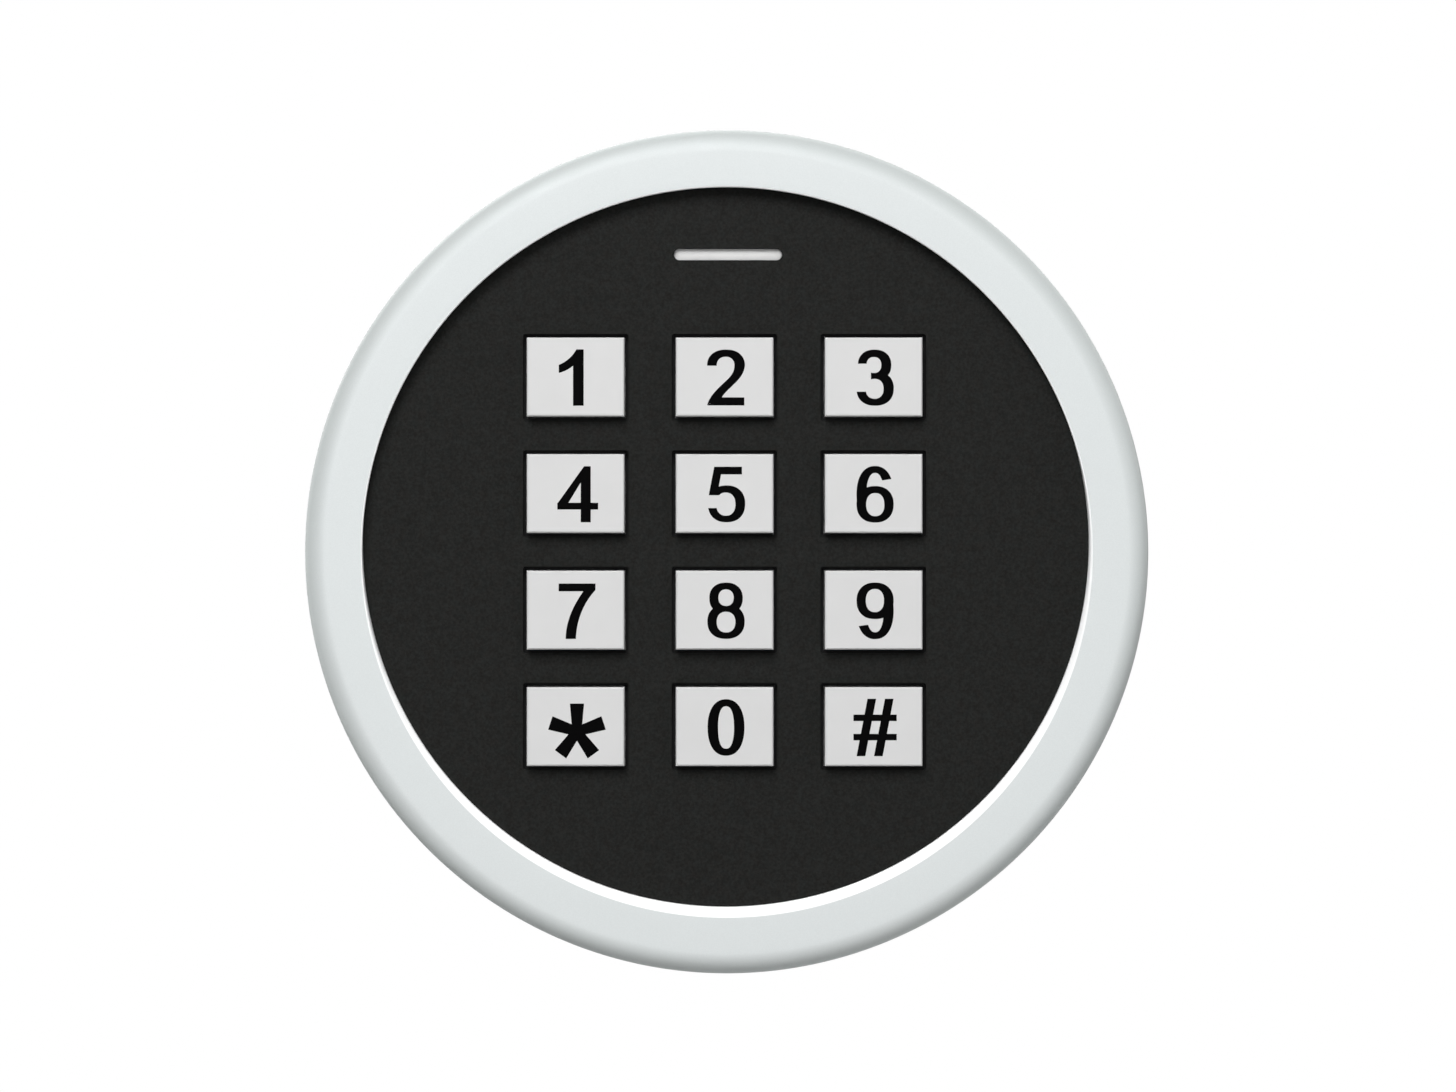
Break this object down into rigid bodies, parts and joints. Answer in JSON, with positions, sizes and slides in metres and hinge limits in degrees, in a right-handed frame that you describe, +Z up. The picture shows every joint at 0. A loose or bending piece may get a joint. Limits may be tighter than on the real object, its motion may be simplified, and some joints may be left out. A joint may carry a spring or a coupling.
{
  "type": "keypad access reader",
  "caption": "Round wall-mounted keypad reader: rectangular push keys and a slim light bar on a recessed plate inside a metal bezel ring, with screw-on wall plate.",
  "frame": {"origin": "middle of the wall screw pattern, on the wall plate's back face where it meets the wall", "axes": "+Z up on the wall, -Y out of the wall towards the user, +X to the user's right"},
  "size_m": [0.086, 0.024, 0.086],
  "materials": {
    "ring_paint": "satin pale silver paint",
    "face_black": "fine matt texture",
    "housing_black": "matt moulded",
    "rear_black": "fine spark-eroded texture",
    "light_diffuser": "milky, satin",
    "key_grey": "smooth matt",
    "legend_black": "smooth matt",
    "silicone_grey": "matt silicone",
    "carbon_black": "matt",
    "gold_plating": "flash gold",
    "board_green": "semi-gloss solder mask",
    "led_white": "clear lens over white body",
    "copper_wire": "enamelled copper",
    "chip_black": "matt moulded epoxy",
    "tinned_leads": "dull tin",
    "can_steel": "bright nickel",
    "relay_cream": "smooth",
    "buzzer_black": "smooth moulded",
    "can_aluminium": "drawn can",
    "ferrite_grey": "sintered ferrite",
    "terminal_green": "smooth moulded",
    "screw_steel": "zinc plated",
    "insert_brass": "turned",
    "gasket_black": "matt",
    "grommet_black": "matt",
    "plate_zinc": "zinc plated",
    "security_steel": "stainless"
  },
  "bodies": {
    "reader": {"antenna_coil": "copper_wire", "bezel_ring": "ring_paint", "board_screws": "screw_steel", "buzzer": "buzzer_black", "cable_grommet": "grommet_black", "chip_resistors": "chip_black", "contact_pads": "gold_plating", "contact_pills": "carbon_black", "crystal": "can_steel", "electrolytic_capacitors": "can_aluminium", "face_plate": "face_black", "front_housing": "housing_black", "housing_gasket": "gasket_black", "housing_screws": "screw_steel", "inductor": "ferrite_grey", "light_bar": "light_diffuser", "main_board": "board_green", "microcontroller": "chip_black", "microcontroller_leads": "tinned_leads", "reader_chip": "chip_black", "rear_housing": "rear_black", "relay": "relay_cream", "security_screw": "security_steel", "status_leds": "led_white", "tamper_sensor": "chip_black", "terminal_block": "terminal_green", "terminal_screws": "screw_steel", "thread_inserts": "insert_brass", "wall_plate": "plate_zinc", "key_mat": "silicone_grey"},
    "button_1": {"key_1": "key_grey", "legend_1": "legend_black"},
    "button_2": {"key_2": "key_grey", "legend_2": "legend_black"},
    "button_3": {"key_3": "key_grey", "legend_3": "legend_black"},
    "button_4": {"key_4": "key_grey", "legend_4": "legend_black"},
    "button_5": {"key_5": "key_grey", "legend_5": "legend_black"},
    "button_6": {"key_6": "key_grey", "legend_6": "legend_black"},
    "button_7": {"key_7": "key_grey", "legend_7": "legend_black"},
    "button_8": {"key_8": "key_grey", "legend_8": "legend_black"},
    "button_9": {"key_9": "key_grey", "legend_9": "legend_black"},
    "button_star": {"key_star": "key_grey", "legend_star": "legend_black"},
    "button_0": {"key_0": "key_grey", "legend_0": "legend_black"},
    "button_hash": {"key_hash": "key_grey", "legend_hash": "legend_black"}
  },
  "joints": [
    {"name": "press_1", "type": "slide", "parent": "reader", "child": "button_1", "axis": [0, 1, 0], "range_m": [0, 0.0009], "stiffness_N_per_m": 1200, "springref_m": -0.0004, "deforming": ["key_mat", "contact_pills"]},
    {"name": "press_2", "type": "slide", "parent": "reader", "child": "button_2", "axis": [0, 1, 0], "range_m": [0, 0.0009], "stiffness_N_per_m": 1200, "springref_m": -0.0004, "deforming": ["key_mat", "contact_pills"]},
    {"name": "press_3", "type": "slide", "parent": "reader", "child": "button_3", "axis": [0, 1, 0], "range_m": [0, 0.0009], "stiffness_N_per_m": 1200, "springref_m": -0.0004, "deforming": ["key_mat", "contact_pills"]},
    {"name": "press_4", "type": "slide", "parent": "reader", "child": "button_4", "axis": [0, 1, 0], "range_m": [0, 0.0009], "stiffness_N_per_m": 1200, "springref_m": -0.0004, "deforming": ["key_mat", "contact_pills"]},
    {"name": "press_5", "type": "slide", "parent": "reader", "child": "button_5", "axis": [0, 1, 0], "range_m": [0, 0.0009], "stiffness_N_per_m": 1200, "springref_m": -0.0004, "deforming": ["key_mat", "contact_pills"]},
    {"name": "press_6", "type": "slide", "parent": "reader", "child": "button_6", "axis": [0, 1, 0], "range_m": [0, 0.0009], "stiffness_N_per_m": 1200, "springref_m": -0.0004, "deforming": ["key_mat", "contact_pills"]},
    {"name": "press_7", "type": "slide", "parent": "reader", "child": "button_7", "axis": [0, 1, 0], "range_m": [0, 0.0009], "stiffness_N_per_m": 1200, "springref_m": -0.0004, "deforming": ["key_mat", "contact_pills"]},
    {"name": "press_8", "type": "slide", "parent": "reader", "child": "button_8", "axis": [0, 1, 0], "range_m": [0, 0.0009], "stiffness_N_per_m": 1200, "springref_m": -0.0004, "deforming": ["key_mat", "contact_pills"]},
    {"name": "press_9", "type": "slide", "parent": "reader", "child": "button_9", "axis": [0, 1, 0], "range_m": [0, 0.0009], "stiffness_N_per_m": 1200, "springref_m": -0.0004, "deforming": ["key_mat", "contact_pills"]},
    {"name": "press_star", "type": "slide", "parent": "reader", "child": "button_star", "axis": [0, 1, 0], "range_m": [0, 0.0009], "stiffness_N_per_m": 1200, "springref_m": -0.0004, "deforming": ["key_mat", "contact_pills"]},
    {"name": "press_0", "type": "slide", "parent": "reader", "child": "button_0", "axis": [0, 1, 0], "range_m": [0, 0.0009], "stiffness_N_per_m": 1200, "springref_m": -0.0004, "deforming": ["key_mat", "contact_pills"]},
    {"name": "press_hash", "type": "slide", "parent": "reader", "child": "button_hash", "axis": [0, 1, 0], "range_m": [0, 0.0009], "stiffness_N_per_m": 1200, "springref_m": -0.0004, "deforming": ["key_mat", "contact_pills"]}
  ]
}
